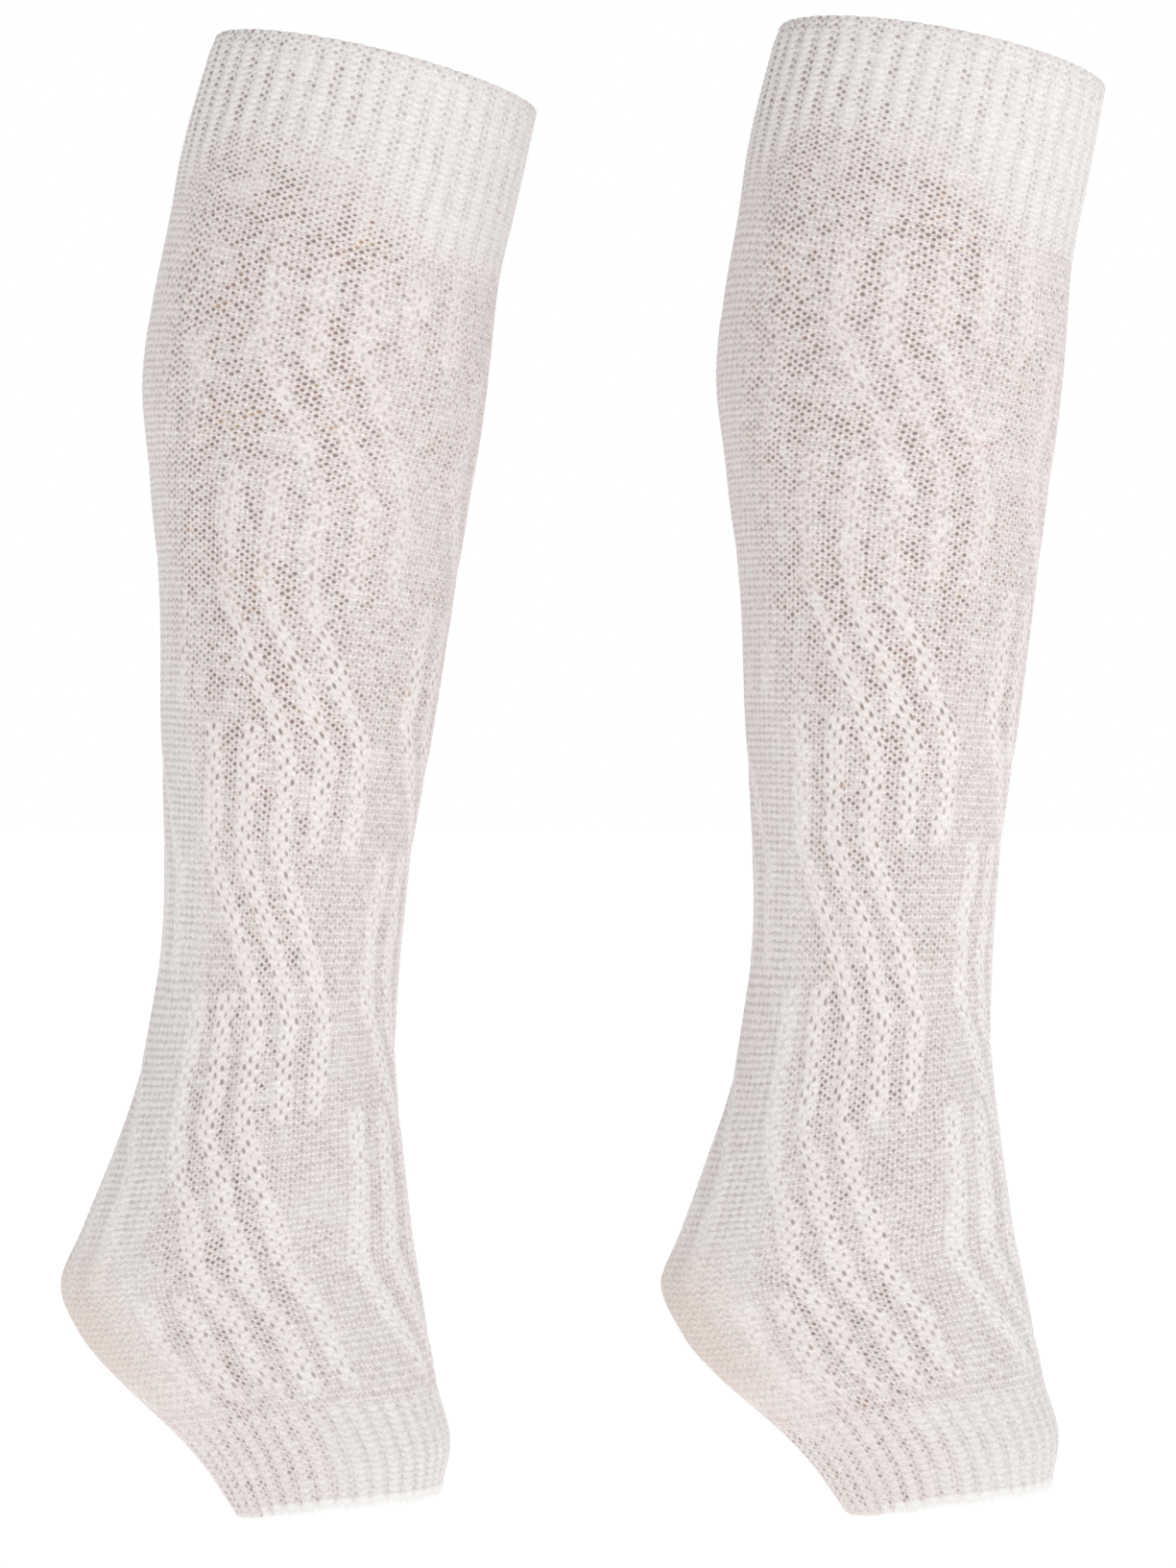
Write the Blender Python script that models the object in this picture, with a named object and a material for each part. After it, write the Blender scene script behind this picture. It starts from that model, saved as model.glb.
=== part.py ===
"""Pair of knee-high knitted leg warmers, in the hollow shape that they take on a leg.

Each one is a tube knitted in the round, pulled over the heel and open at the foot. It is made
in three stretches: a ribbed top cuff, the leg with its travelling ribs, and a ribbed foot cuff.
+X points from the calf to the shin, +Z up, and -Y to the side that is seen in the front view.
The origin is the middle of the left leg warmer's top cuff, where the rib grips the calf.
"""

import math

import bmesh
import bpy
import numpy as np
from mathutils import Matrix, Vector

MM = 0.001  # the tables below are in millimetres

# A wale is a column of stitches and a course is a row of them, counted down from the top rim.
WALES = 84
PANELS = 4  # the travelling ribs repeat this often round the leg
TOP_RIM = 0
TOP_SEAM = 26  # the course where the top cuff meets the leg
FOOT_SEAM = 181  # the course where the leg meets the foot cuff
FOOT_RIM = 195

# The wall, and how far ribs stand out of it.
WALL = 1.8 * MM
CUFF_RIB_HEIGHT = 0.9 * MM
LEG_RIB_HEIGHT = 1.3 * MM
GROUND_INSET = 1.0 * MM  # the table's outline runs over the ribs, and the ground lies this far in
SEAM_GAP = 0.35 * MM

# Travelling ribs: two wales wide and four apart, in panels that have places for five. At each
# repeat a panel starts two new ribs at its calf end, and the first three, after a straight run,
# slant by two places towards the shin while the last two end. Every other panel starts later.
RIB_PLACES = 5
RIB_PITCH = 4
NEW_RIBS = 2
RIB_HALF_WIDTH = 1.0
RIB_SHOULDER = 0.5  # how far past its own wales a rib still slopes down
FIRST_RIB_WALE = 17.9
FIRST_REPEAT_COURSES = (22, 39)
STRAIGHT_COURSES = 18
SLANT_COURSES = 23
REPEAT_COURSES = 36

# Sections of the leg warmer. Each joins a point on its calf side to one on its shin side.
# side width is half the width across, side rise lifts the flanks along the leg, egg is above
# nothing where the shin side is the fuller one, and twist turns the stitches, in wales.
COLUMNS = ("course", "back x", "back z", "front x", "front z", "side width", "side rise", "egg", "twist")
SECTIONS = (
    (0, -48, 41.5, 63, 16.5, 49, 1, -0.02, 0.0),
    (12, -56.5, 12.5, 56.5, -13, 50.5, -1, -0.03, 0.0),
    (26, -63, -16.5, 50, -42, 52, -3.5, -0.05, 0.0),
    (37.5, -70, -50, 47, -69.5, 53, -2, -0.07, 0.0),
    (48, -73, -76, 44, -92.5, 53, 0, -0.08, -0.6),
    (61.5, -70.5, -109, 39, -122, 51, 0, -0.08, -2.4),
    (78, -67, -148, 33, -158.5, 48, 0, -0.06, -3.5),
    (95.5, -66.5, -191, 26.5, -199, 44.5, 0, -0.03, -4.4),
    (113, -65.5, -233.5, 19.5, -239, 40.5, 0, 0.0, -5.0),
    (125.5, -66.5, -266, 16.5, -268, 36.5, 0, 0.02, -5.7),
    (136, -71, -297.5, 14.5, -293.5, 35, 0, 0.04, -6.2),
    (145, -76.5, -321.5, 14.5, -313, 35.5, 0, 0.06, -6.3),
    (152.5, -85, -343.5, 16.5, -332, 36, 0, 0.1, -6.1),
    (159.5, -94, -365.5, 18.5, -351.5, 36, 0, 0.13, -5.9),
    (165, -101, -384, 20.5, -368, 35.5, 0.5, 0.14, -6.0),
    (170, -94, -400, 22.5, -382.5, 36, 1.5, 0.13, -6.1),
    (175.5, -81.5, -415, 25.5, -400, 37.5, 2.5, 0.1, -6.0),
    (181, -64.5, -430.5, 29, -418, 39, 3.5, 0.08, -5.7),
    (188, -51.5, -444.5, 33.5, -436.5, 41, 4, 0.05, -5.5),
    (195, -41, -460, 30.5, -452.5, 42, 4, 0.03, -5.5),
)

# Each stretch of the tube: its first and last course, and the courses between them that have a
# ring of points in the outer face and in the inner one, closer together over the heel.
STRETCHES = {
    "top_cuff": {"first": TOP_RIM, "last": TOP_SEAM, "outer": (8, 17), "inner": (13,)},
    "leg": {
        "first": TOP_SEAM,
        "last": FOOT_SEAM,
        "outer": (*range(34, 155, 6), 159, 163, 167, 171, 176),
        "inner": (39, 51, 65, 80, 96, 112, 126, 138, 149, 158, 166, 173),
    },
    "foot_cuff": {"first": FOOT_SEAM, "last": FOOT_RIM, "outer": (186, 191), "inner": (188,)},
}
INNER_STEP = 3  # one point inside the wall for this many outside

# Where each leg warmer hangs: its cuff's middle along X and Z, how many degrees its foot swings
# towards +X, its size beside the left one, and how far its stitches are turned, in wales.
PLACES = {
    "left": {"shift": (0.0, 0.0), "lean": 0.0, "size": 1.0, "turn": 0.0},
    "right": {"shift": (194.0, 5.2), "lean": 1.73, "size": 1.008, "turn": -1.7},
}

SHARP_ANGLE = 50  # degrees: rims stay sharp and the knitting is shaded smooth
YARN_COLOUR = (0.82, 0.78, 0.75, 1.0)
YARN_ROUGHNESS = 0.95

STATIONS = np.array([row[0] for row in SECTIONS], float)
VALUES = np.array([row[1:] for row in SECTIONS], float)
SLOPES = np.gradient(VALUES, STATIONS, axis=0)
OUTLINE_STEPS = 720


def section(course):
    """The columns of the table at a course, on a smooth curve through its rows."""
    i = int(np.clip(np.searchsorted(STATIONS, course) - 1, 0, len(STATIONS) - 2))
    step = STATIONS[i + 1] - STATIONS[i]
    t = (course - STATIONS[i]) / step
    value = (
        (1 + 2 * t) * (1 - t) ** 2 * VALUES[i]
        + t * (1 - t) ** 2 * step * SLOPES[i]
        + t * t * (3 - 2 * t) * VALUES[i + 1]
        + t * t * (t - 1) * step * SLOPES[i + 1]
    )
    return dict(zip(COLUMNS[1:], value))


def outline(course):
    """A fine outline of the cloth's outer face at a course, with its outward directions.

    It starts in the middle of the calf side and runs by the near flank to the shin.
    """
    s = section(course)
    back = np.array([s["back x"], 0.0, s["back z"]]) * MM
    front = np.array([s["front x"], 0.0, s["front z"]]) * MM
    half_depth = np.linalg.norm(front - back) / 2
    forward = (front - back) / (2 * half_depth)
    across = np.array([0.0, 1.0, 0.0])
    upward = np.array([-forward[2], 0.0, forward[0]])
    angle = np.linspace(0, 2 * math.pi, OUTLINE_STEPS + 1)
    depth = -half_depth * np.cos(angle)
    width = -s["side width"] * MM * np.sin(angle) * (1 - s["egg"] * np.cos(angle))
    lift = s["side rise"] * MM * np.sin(angle) ** 2
    points = (back + front) / 2 + np.outer(depth, forward) + np.outer(width, across)
    points = points + np.outer(lift, upward)
    d_depth, d_width = np.gradient(depth, angle), np.gradient(width, angle)
    d_depth[[0, -1]] = 0.0
    length = np.hypot(d_depth, d_width)
    outward = np.outer(d_width / length, forward) - np.outer(d_depth / length, across)
    return points, outward


def ring(course, wales):
    """Points and outward directions at the given wales round one course, evenly spaced."""
    points, outward = outline(course)
    steps = np.linalg.norm(np.diff(points, axis=0), axis=1)
    travelled = np.concatenate([[0], np.cumsum(steps)])
    at = (np.asarray(wales, float) % WALES) / WALES * travelled[-1]
    place = np.stack([np.interp(at, travelled, points[:, k]) for k in range(3)], axis=1)
    away = np.stack([np.interp(at, travelled, outward[:, k]) for k in range(3)], axis=1)
    return place, away / np.linalg.norm(away, axis=1)[:, None]


def leg_rib(wale, course, turn):
    """How far a travelling rib is raised at a stitch of the leg, from 0 to 1."""
    panel_wales = WALES // PANELS
    from_start = wale - FIRST_RIB_WALE - turn - section(course)["twist"]
    highest = 0.0
    for panel in range(PANELS):
        since_first = course - FIRST_REPEAT_COURSES[panel % 2]
        if since_first < 0:
            continue
        latest = int(since_first // REPEAT_COURSES)
        for repeat in range(latest - RIB_PLACES // NEW_RIBS, latest + 1):
            age = since_first - repeat * REPEAT_COURSES
            slants = [age - STRAIGHT_COURSES - n * REPEAT_COURSES for n in range(RIB_PLACES // NEW_RIBS)]
            moved = NEW_RIBS * sum(min(max(slant / SLANT_COURSES, 0.0), 1.0) for slant in slants)
            for rib in range(NEW_RIBS):
                moves = (RIB_PLACES - 1 - rib) // NEW_RIBS
                if age > STRAIGHT_COURSES + moves * REPEAT_COURSES:
                    continue
                off = from_start - panel * panel_wales - (rib + moved) * RIB_PITCH
                off = abs((off + WALES / 2) % WALES - WALES / 2)
                highest = max(highest, min(RIB_HALF_WIDTH + RIB_SHOULDER - off, 1.0))
    return highest


def raised(stretch, wale, course, turn):
    """How far the outer face stands out at a stitch: a travelling rib, or every other cuff wale."""
    if stretch == "leg":
        return LEG_RIB_HEIGHT * leg_rib(wale, course, turn)
    return CUFF_RIB_HEIGHT if int(wale) % 2 == 0 else 0.0


def clear_of_seam(course, side):
    """Half the seam gap down (side 1) or up (side -1) from a seam, as a course. Rims stay put."""
    if course in (TOP_RIM, FOOT_RIM):
        return course
    nudge = 0.25
    here, there = section(course), section(course + nudge * side)
    speeds = []
    for end in ("back", "front"):
        step = math.hypot(there[end + " x"] - here[end + " x"], there[end + " z"] - here[end + " z"])
        speeds.append(step * MM / nudge)
    return course + side * SEAM_GAP / 2 / min(speeds)


def tube(name, stretch, outer_courses, inner_courses, place, turn):
    """One stretch of knitted tube: a ribbed outer face, a plain inner one and two open rims."""
    outer_wales = np.arange(WALES)
    inner_wales = outer_wales[INNER_STEP // 2 :: INNER_STEP]
    mesh = bmesh.new()

    def add_ring(course, wales, heights):
        points, outward = ring(course, wales)
        points = points + outward * (np.array(heights) - GROUND_INSET)[:, None]
        return [mesh.verts.new(place @ Vector(p)) for p in points]

    outer = []
    for course in outer_courses:
        heights = [raised(stretch, wale, course, turn) for wale in outer_wales]
        outer.append(add_ring(course, outer_wales, heights))
    inner = [add_ring(course, inner_wales, [-WALL] * len(inner_wales)) for course in inner_courses]

    for rings, outside in ((outer, True), (inner, False)):
        count = len(rings[0])
        for upper, lower in zip(rings, rings[1:]):
            for i in range(count):
                j = (i + 1) % count
                # Slanting ribs move about two wales on from ring to ring, the way this diagonal runs.
                halves = ((upper[i], lower[i], lower[j]), (upper[i], lower[j], upper[j]))
                for half in halves:
                    mesh.faces.new(half if outside else half[::-1])
    for end, at_top in ((0, True), (-1, False)):
        out_ring, in_ring = outer[end], inner[end]
        for k in range(len(in_ring)):
            first = k * INNER_STEP
            across = [out_ring[(first + n) % WALES] for n in range(INNER_STEP + 1)]
            here, there = in_ring[k], in_ring[(k + 1) % len(in_ring)]
            faces = [(across[0], across[1], here), (across[1], across[2], here)]
            faces += [(across[2], there, here), (across[2], across[3], there)]
            for face in faces:
                mesh.faces.new(face if at_top else face[::-1])
    data = bpy.data.meshes.new(name)
    mesh.to_mesh(data)
    mesh.free()
    data.shade_smooth()
    data.set_sharp_from_angle(angle=math.radians(SHARP_ANGLE))
    return bpy.data.objects.new(name, data)


def yarn(name):
    """The soft off-white yarn, one material for each stretch."""
    material = bpy.data.materials.new(name)
    material.use_nodes = True
    shader = material.node_tree.nodes["Principled BSDF"]
    shader.inputs["Base Color"].default_value = YARN_COLOUR
    shader.inputs["Roughness"].default_value = YARN_ROUGHNESS
    shader.inputs["Metallic"].default_value = 0.0
    return material


def leg_warmer(side, collection):
    """The three stretches of one leg warmer."""
    spot = PLACES[side]
    shift = Vector((spot["shift"][0], 0.0, spot["shift"][1])) * MM
    place = Matrix.Translation(shift) @ Matrix.Rotation(math.radians(-spot["lean"]), 4, "Y")
    place = place @ Matrix.Scale(spot["size"], 4)
    for stretch, courses in STRETCHES.items():
        first, last = clear_of_seam(courses["first"], 1), clear_of_seam(courses["last"], -1)
        outer_courses = (first, *courses["outer"], last)
        inner_courses = (first, *courses["inner"], last)
        name = f"{side}_{stretch}"
        piece = tube(name, stretch, outer_courses, inner_courses, place, spot["turn"])
        piece.data.materials.append(yarn(name + "_yarn"))
        collection.objects.link(piece)


def main():
    for old in list(bpy.data.objects):
        bpy.data.objects.remove(old)
    collection = bpy.data.collections.new("leg_warmers")
    bpy.context.scene.collection.children.link(collection)
    for side in PLACES:
        leg_warmer(side, collection)


main()
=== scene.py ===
import math

import bpy
import numpy as np
from mathutils import Matrix, Vector


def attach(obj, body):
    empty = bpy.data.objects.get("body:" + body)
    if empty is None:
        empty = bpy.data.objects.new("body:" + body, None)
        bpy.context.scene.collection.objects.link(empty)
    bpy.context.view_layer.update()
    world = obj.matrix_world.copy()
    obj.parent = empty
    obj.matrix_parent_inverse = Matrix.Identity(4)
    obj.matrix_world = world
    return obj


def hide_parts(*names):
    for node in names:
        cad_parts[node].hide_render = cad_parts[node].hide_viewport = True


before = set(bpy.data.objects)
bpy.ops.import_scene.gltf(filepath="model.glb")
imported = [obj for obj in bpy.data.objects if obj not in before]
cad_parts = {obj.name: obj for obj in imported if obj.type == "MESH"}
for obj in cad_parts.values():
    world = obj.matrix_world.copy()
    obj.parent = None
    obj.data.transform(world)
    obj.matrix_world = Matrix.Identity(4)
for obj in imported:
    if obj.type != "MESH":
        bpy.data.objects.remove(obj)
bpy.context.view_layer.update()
bpy.ops.object.select_all(action="DESELECT")
print("frame loaded:", sorted(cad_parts))

mm = 0.001

studio = {
    "cameraPlace": (0.0797, -1.4, -0.2125),  # level, square to the pair
    "lens": 94.12,
    "sensor": 36.0,
    "clip": (0.05, 200.0),
    "floorHeight": -0.56,
    "floorSize": 60.0,
    "floorColour": (0.8, 0.8, 0.8, 1.0),
    "floorGlow": 0.93,  # its share in what the camera sees, as pale as the background
    "glowStrength": 1.02,
    "floorBounce": 0.5,
    "skyColour": (1.0, 1.0, 1.0, 1.0),
    "skyLight": 0.7,
    "lamps": (  # name, place, width, height, watts
        ("keyLamp", (0.9, -2.3, 0.6), 1.5, 1.6, 12.8),
        ("fillLamp", (1.9, -0.9, -0.1), 1.2, 1.4, 2.6),
        ("backLamp", (0.4, 2.2, 0.9), 1.6, 1.6, 12.0),
    ),
    "aim": (0.09, 0.0, -0.2),
}


def makeCamera():
    bpy.ops.object.camera_add(location=studio["cameraPlace"], rotation=(math.pi / 2, 0, 0))
    camera = bpy.context.object
    camera.name = "photoCamera"
    camera.data.lens = studio["lens"]
    camera.data.sensor_width = studio["sensor"]
    camera.data.clip_start, camera.data.clip_end = studio["clip"]
    bpy.context.scene.camera = camera


def makeLamps():
    for name, place, width, height, watts in studio["lamps"]:
        bpy.ops.object.light_add(type="AREA", location=place)
        lamp = bpy.context.object
        lamp.name = name
        lamp.data.shape = "RECTANGLE"
        lamp.data.size, lamp.data.size_y = width, height
        lamp.data.energy = watts
        towards = Vector(studio["aim"]) - Vector(place)
        lamp.rotation_euler = towards.to_track_quat("-Z", "Y").to_euler()
    world = bpy.data.worlds.new("studioSky")
    bpy.context.scene.world = world
    world.use_nodes = True
    tree = world.node_tree
    tree.nodes.clear()
    out = tree.nodes.new("ShaderNodeOutputWorld")
    light, seen = tree.nodes.new("ShaderNodeBackground"), tree.nodes.new("ShaderNodeBackground")
    light.inputs["Color"].default_value = seen.inputs["Color"].default_value = studio["skyColour"]
    light.inputs["Strength"].default_value = studio["skyLight"]
    seen.inputs["Strength"].default_value = 1.0
    path, mix = tree.nodes.new("ShaderNodeLightPath"), tree.nodes.new("ShaderNodeMixShader")
    tree.links.new(path.outputs["Is Camera Ray"], mix.inputs[0])
    tree.links.new(light.outputs[0], mix.inputs[1])
    tree.links.new(seen.outputs[0], mix.inputs[2])
    tree.links.new(mix.outputs[0], out.inputs["Surface"])


def makeFloor():
    bpy.ops.mesh.primitive_plane_add(size=studio["floorSize"], location=(0, 0, studio["floorHeight"]))
    floor = bpy.context.object
    floor.name = "studioFloor"
    paper = bpy.data.materials.new("palePaper")
    paper.use_nodes = True
    tree = paper.node_tree
    shader = tree.nodes["Principled BSDF"]
    shader.inputs["Base Color"].default_value = studio["floorColour"]
    shader.inputs["Roughness"].default_value = 1.0
    shader.inputs["Emission Color"].default_value = studio["skyColour"]
    shader.inputs["Emission Strength"].default_value = studio["floorBounce"]
    glow, path = tree.nodes.new("ShaderNodeEmission"), tree.nodes.new("ShaderNodeLightPath")
    mix = tree.nodes.new("ShaderNodeMixShader")
    glow.inputs["Strength"].default_value = studio["glowStrength"]
    share = tree.nodes.new("ShaderNodeMath")
    share.operation = "MULTIPLY"
    share.inputs[1].default_value = studio["floorGlow"]
    tree.links.new(path.outputs["Is Camera Ray"], share.inputs[0])
    tree.links.new(share.outputs[0], mix.inputs[0])
    tree.links.new(shader.outputs[0], mix.inputs[1])
    tree.links.new(glow.outputs[0], mix.inputs[2])
    tree.links.new(mix.outputs[0], tree.nodes["Material Output"].inputs["Surface"])
    floor.data.materials.append(paper)


makeCamera()
makeLamps()
makeFloor()
scene = bpy.context.scene
scene.view_settings.view_transform = "Standard"
scene.view_settings.look = "None"
print("camera, lamps and floor placed")

# The knitted form, as the solids have it.
# A wale is a column of stitches, a course a row of them, counted down from the top rim.
form = {
    "wales": 84,
    "panels": 4,
    "topRim": 0.0,
    "topSeam": 26.0,
    "legSplit": 100.0,  # each leg is two pieces of cloth that meet at this course
    "footSeam": 181.0,
    "footRim": 195.0,
    "wall": 1.8 * mm,
    "groundInset": 1.0 * mm,
    "outlineSteps": 720,
    "flatSteps": 60,
    # course, back x, back z, front x, front z, half width, flank rise, egg, twist
    "sections": (
        (0, -48, 41.5, 63, 16.5, 49, 1, -0.02, 0.0),
        (12, -56.5, 12.5, 56.5, -13, 50.5, -1, -0.03, 0.0),
        (26, -63, -16.5, 50, -42, 52, -3.5, -0.05, 0.0),
        (37.5, -70, -50, 47, -69.5, 53, -2, -0.07, 0.0),
        (48, -73, -76, 44, -92.5, 53, 0, -0.08, -0.6),
        (61.5, -70.5, -109, 39, -122, 51, 0, -0.08, -2.4),
        (78, -67, -148, 33, -158.5, 48, 0, -0.06, -3.5),
        (95.5, -66.5, -191, 26.5, -199, 44.5, 0, -0.03, -4.4),
        (113, -65.5, -233.5, 19.5, -239, 40.5, 0, 0.0, -5.0),
        (125.5, -66.5, -266, 16.5, -268, 36.5, 0, 0.02, -5.7),
        (136, -71, -297.5, 14.5, -293.5, 35, 0, 0.04, -6.2),
        (145, -76.5, -321.5, 14.5, -313, 35.5, 0, 0.06, -6.3),
        (152.5, -85, -343.5, 16.5, -332, 36, 0, 0.1, -6.1),
        (159.5, -94, -365.5, 18.5, -351.5, 36, 0, 0.13, -5.9),
        (165, -101, -384, 20.5, -368, 35.5, 0.5, 0.14, -6.0),
        (170, -94, -400, 22.5, -382.5, 36, 1.5, 0.13, -6.1),
        (175.5, -81.5, -415, 25.5, -400, 37.5, 2.5, 0.1, -6.0),
        (181, -64.5, -430.5, 29, -418, 39, 3.5, 0.08, -5.7),
        (188, -51.5, -444.5, 33.5, -436.5, 41, 4, 0.05, -5.5),
        (195, -41, -460, 30.5, -452.5, 42, 4, 0.03, -5.5),
    ),
    "places": {
        "left": {"shift": (0.0, 0.0), "lean": 0.0, "size": 1.0, "turn": 0.0, "seed": 3},
        "right": {"shift": (194.0, 5.2), "lean": 1.73, "size": 1.008, "turn": -1.7, "seed": 8},
    },
}
stations = np.array([row[0] for row in form["sections"]], float)
values = np.array([row[1:] for row in form["sections"]], float)
slopes = np.gradient(values, stations, axis=0)


def smooth(t):
    t = np.clip(t, 0.0, 1.0)
    return t * t * (3 - 2 * t)


def sectionAt(course):
    i = int(np.clip(np.searchsorted(stations, course) - 1, 0, len(stations) - 2))
    step = stations[i + 1] - stations[i]
    t = (course - stations[i]) / step
    return (
        (1 + 2 * t) * (1 - t) ** 2 * values[i]
        + t * (1 - t) ** 2 * step * slopes[i]
        + t * t * (3 - 2 * t) * values[i + 1]
        + t * t * (t - 1) * step * slopes[i + 1]
    )


def ringAt(course, wales):
    # points, outward directions and the direction down the leg at the wales of one course
    backX, backZ, frontX, frontZ, halfWidth, rise, egg, twist = sectionAt(course)
    back = np.array([backX, 0.0, backZ]) * mm
    front = np.array([frontX, 0.0, frontZ]) * mm
    halfDepth = np.linalg.norm(front - back) / 2
    forward = (front - back) / (2 * halfDepth)
    across, upward = np.array([0.0, 1.0, 0.0]), np.array([-forward[2], 0.0, forward[0]])
    angle = np.linspace(0, 2 * math.pi, form["outlineSteps"] + 1)
    depth = -halfDepth * np.cos(angle)
    width = -halfWidth * mm * np.sin(angle) * (1 - egg * np.cos(angle))
    lift = rise * mm * np.sin(angle) ** 2
    points = (back + front) / 2 + np.outer(depth, forward) + np.outer(width, across)
    points = points + np.outer(lift, upward)
    slopeDepth, slopeWidth = np.gradient(depth, angle), np.gradient(width, angle)
    slopeDepth[[0, -1]] = 0.0
    run = np.hypot(slopeDepth, slopeWidth)
    outward = np.outer(slopeWidth / run, forward) - np.outer(slopeDepth / run, across)
    travelled = np.concatenate([[0], np.cumsum(np.linalg.norm(np.diff(points, axis=0), axis=1))])
    at = (np.asarray(wales, float) % form["wales"]) / form["wales"] * travelled[-1]
    place = np.stack([np.interp(at, travelled, points[:, k]) for k in range(3)], axis=1)
    away = np.stack([np.interp(at, travelled, outward[:, k]) for k in range(3)], axis=1)
    return place, away / np.linalg.norm(away, axis=1)[:, None], -upward


def placeOf(side):
    spot = form["places"][side]
    shift = Vector((spot["shift"][0], 0.0, spot["shift"][1])) * mm
    lean = Matrix.Rotation(math.radians(-spot["lean"]), 4, "Y")
    return Matrix.Translation(shift) @ lean @ Matrix.Scale(spot["size"], 4)


# Stitch rows lie closer together than the courses over the heel, and the cloth is finer there.
stitchRows = {
    "course": (0, 30, 38, 48, 54, 62, 72, 136, 146, 153, 160, 168, 175, 181, 195),
    "perCourse": (1.12, 1.12, 1.0, 1.0, 1.08, 1.08, 1.0, 1.0, 1.1, 1.25, 1.4, 1.5, 1.35, 1.05, 1.05),
    "steps": 3901,
}
fineCourses = np.linspace(0, form["footRim"], stitchRows["steps"])
perCourse = np.interp(fineCourses, stitchRows["course"], stitchRows["perCourse"])
rowCount = np.concatenate([[0], np.cumsum((perCourse[1:] + perCourse[:-1]) / 2 * np.diff(fineCourses))])

# Travelling ribs, called ropes here. At each repeat a panel starts two at its calf end; the
# first three slant by two places towards the shin, and the last two end.
rope = {
    "places": 5,
    "together": 2,
    "pitch": 4.0,  # wales
    "firstWale": 17.9,
    "firstCourses": (22.0, 39.0),  # of even panels and odd ones
    "straight": 18.0,
    "slant": 23.0,
    "repeat": 36.0,
    "startFade": 1.4,
    "endEarly": 1.2,
    "endFade": 2.6,
    "height": 0.58 * mm,
    "halfWidth": 1.28,
    "middleDip": 0.16,  # between its two columns of stitches
    "valley": 5.6,  # wales from rope to rope, past which the ground between is no valley
    "outOfReach": 9.0,
    "noneNear": 3.0,  # wales, the distance given where no rope is near
    "uneven": 0.12,
    "dotsAcross": 1.42,  # wales between its long gaps, which stand in three staggered columns
    "dotsAlong": 2.0,  # stitch rows
    "dotDepth": 0.13 * mm,
}


def ropeTracks(course):
    # the middle, in stitches round the leg, and the strength of each rope at one course
    tracks = []
    panelWales = form["wales"] / form["panels"]
    slants = rope["places"] // rope["together"]
    for panel in range(form["panels"]):
        since = course - rope["firstCourses"][panel % 2]
        if since < 0:
            continue
        latest = math.floor(since / rope["repeat"])
        for repeat in range(latest - slants, latest + 1):
            age = since - repeat * rope["repeat"]
            moved = 0.0
            for n in range(slants):
                t = float(np.clip((age - rope["straight"] - n * rope["repeat"]) / rope["slant"], 0, 1))
                moved += rope["together"] * (0.75 * t + 0.25 * float(smooth(t)))
            for k in range(rope["together"]):
                end = rope["straight"] + (rope["places"] - 1 - k) // rope["together"] * rope["repeat"]
                born = smooth(min(age, since) / rope["startFade"])
                power = float(born * (1 - smooth((age - end + rope["endEarly"]) / rope["endFade"])))
                if power > 0:
                    wander = rope["uneven"] * math.sin(course * 0.61 + panel * 2.1 + repeat * 1.7 + k * 3.3)
                    middle = rope["firstWale"] + panel * panelWales + (k + moved) * rope["pitch"] + wander
                    tracks.append((middle, power))
    return tracks


def ropesAt(course, wales):
    # height share, signed distance from the nearest rope and share of valley at each stitch
    best, nearest = np.zeros(len(wales)), np.full(len(wales), rope["noneNear"])
    away = rope["outOfReach"]
    leftward, rightward = np.full(len(wales), away), np.full(len(wales), away)
    for middle, power in ropeTracks(course):
        off = (wales - middle + form["wales"] / 2) % form["wales"] - form["wales"] / 2
        closer = np.abs(off) < np.abs(nearest)
        nearest = np.where(closer, off, nearest)
        best = np.where(closer, power, best)
        reach = away - (away - np.abs(off)) * power
        leftward = np.where(off >= 0, np.minimum(leftward, reach), leftward)
        rightward = np.where(off <= 0, np.minimum(rightward, reach), rightward)
    swell = np.sin(course * 0.43 + wales * 18 * math.pi / form["wales"])
    wide = rope["halfWidth"] * (1 + rope["uneven"] * swell)
    shape = np.clip(1 - (np.abs(nearest) / wide) ** 2.6, 0, 1) ** 0.9
    shape = shape * (1 - rope["middleDip"] * np.exp(-((nearest / 0.3) ** 2)))
    valley = smooth((rope["valley"] - leftward - rightward) / 1.2) * (1 - np.clip(shape * 1.6, 0, 1))
    return best * shape, nearest, valley


cuffRib = {
    "pitch": 2.0,
    "phase": {"left": 0.05, "right": -0.25},  # where a rib's middle lies, in wales
    "footPhase": {"left": 0.5, "right": 0.31},
    "footFan": 0.67,  # wales by which the foot cuff's ribs spread along the flank
    "deep": 1.0 * mm,  # at the calf side and the sole
    "shallow": 0.15 * mm,  # at the shin side and the top of the foot
    "stitchRelief": 0.14 * mm,
}

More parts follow.
